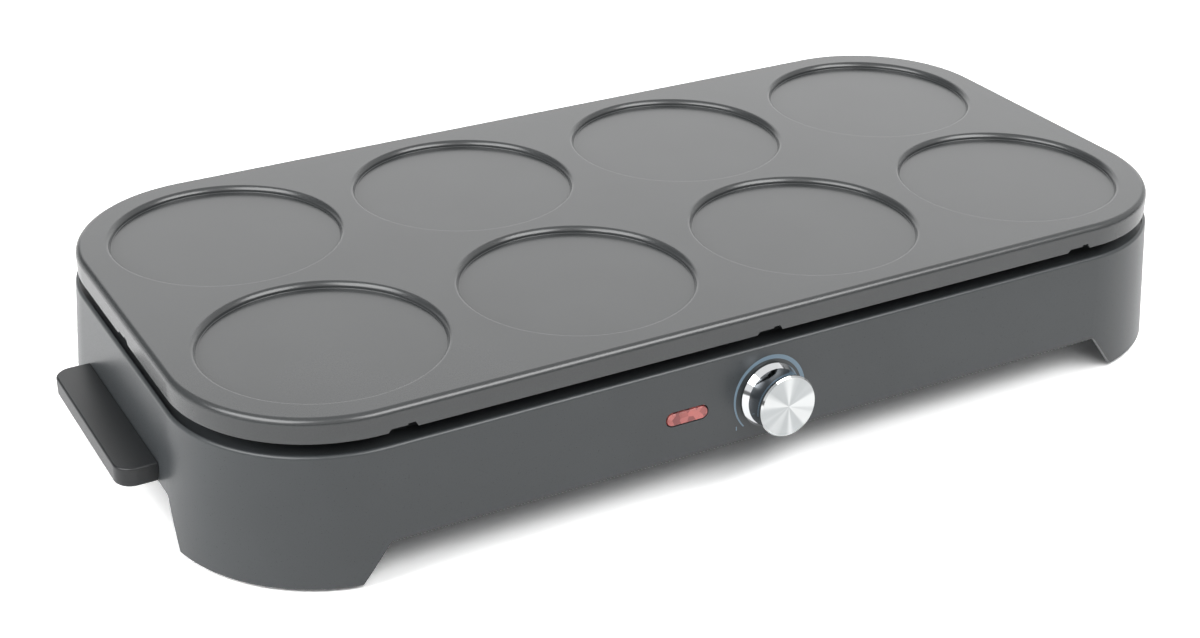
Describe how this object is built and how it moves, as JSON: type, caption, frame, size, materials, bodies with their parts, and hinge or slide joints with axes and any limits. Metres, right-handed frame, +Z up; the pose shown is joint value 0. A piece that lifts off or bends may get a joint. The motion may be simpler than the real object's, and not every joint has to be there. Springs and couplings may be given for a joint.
{
  "type": "pancake maker",
  "caption": "Flat electric pancake maker: shallow round wells in one coated plate, leaning housing on corner legs, slab handles at the short sides, knob and red lamp in front.",
  "frame": {"origin": "on the table under the middle of the whole object's box", "axes": "+X along the long side, to the right when facing the knob; +Y from the knob side to the rear; +Z up"},
  "size_m": [0.5368, 0.2738, 0.0764],
  "materials": {
    "plate_coating": "cast aluminium with a dark grey speckled non-stick coating, satin",
    "housing_plastic": "moulded dark grey heat-resistant plastic, fine matt texture",
    "handle_plastic": "moulded dark grey plastic, satin",
    "knob_plastic": "moulded black plastic, glossy",
    "knob_aluminium": "spun face with a bright cut edge",
    "chrome": "chrome plated, mirror bright",
    "lens_red": "clear red moulded acrylic with ribs inside",
    "rubber": "matt black",
    "cover_steel": "pressed sheet with a dark coating",
    "aluminised_steel": "pressed sheet, dull bright",
    "element_steel": "annealed tube, dark oxide",
    "bright_steel": "zinc plated",
    "screw_steel": "zinc plated",
    "brass": "plain turned and stamped",
    "copper": "drawn copper, plain",
    "bakelite": "moulded dark brown phenolic",
    "nylon": "moulded, natural",
    "lamp_glass": "clear glass",
    "fuse_sleeve": "woven glass sleeve",
    "sleeve_brown": "silicone sleeve, brown",
    "sleeve_blue": "silicone sleeve, blue",
    "sleeve_green": "silicone sleeve, green"
  },
  "bodies": {
    "base": {"griddle_plate": "plate_coating", "heating_element": "element_steel", "element_tab_outer": "bright_steel", "element_tab_inner": "bright_steel", "thermostat_plate": "bright_steel", "thermostat_nut": "bright_steel", "bulb_clip": "bright_steel", "fuse_clip": "bright_steel", "heat_reflector": "aluminised_steel", "plate_spacer_1": "bright_steel", "plate_screw_1": "screw_steel", "cover_screw_1": "screw_steel", "handle_screw_1": "screw_steel", "foot_pad_1": "rubber", "plate_spacer_2": "bright_steel", "plate_screw_2": "screw_steel", "cover_screw_2": "screw_steel", "handle_screw_2": "screw_steel", "foot_pad_2": "rubber", "plate_spacer_3": "bright_steel", "plate_screw_3": "screw_steel", "cover_screw_3": "screw_steel", "handle_screw_3": "screw_steel", "foot_pad_3": "rubber", "plate_spacer_4": "bright_steel", "plate_screw_4": "screw_steel", "cover_screw_4": "screw_steel", "handle_screw_4": "screw_steel", "foot_pad_4": "rubber", "housing": "housing_plastic", "cord_gland": "housing_plastic", "handle_left": "handle_plastic", "handle_right": "handle_plastic", "bottom_cover": "cover_steel", "thermostat_tab_live": "brass", "thermostat_tab_switched": "brass", "earth_tag": "brass", "earth_screw": "brass", "thermostat_body": "bakelite", "sensor_bulb": "copper", "capillary_tube": "copper", "thermal_fuse": "fuse_sleeve", "indicator_lens": "lens_red", "lamp_holder": "nylon", "terminal_block": "nylon", "neon_lamp": "lamp_glass", "lead_live": "sleeve_brown", "lead_fused": "sleeve_brown", "lead_switched": "sleeve_brown", "lamp_lead_live": "sleeve_brown", "lead_neutral": "sleeve_blue", "lamp_lead_neutral": "sleeve_blue", "lead_earth": "sleeve_green"},
    "knob": {"knob_ring": "chrome", "knob_body": "knob_plastic", "knob_face": "knob_aluminium", "spindle": "brass"}
  },
  "joints": [
    {"name": "knob_turn", "type": "hinge", "parent": "base", "child": "knob", "pos_m": [-0.0022, -0.12083, 0.0372], "axis": [0, 0.9969, -0.0793], "range_deg": [0, 240]}
  ]
}
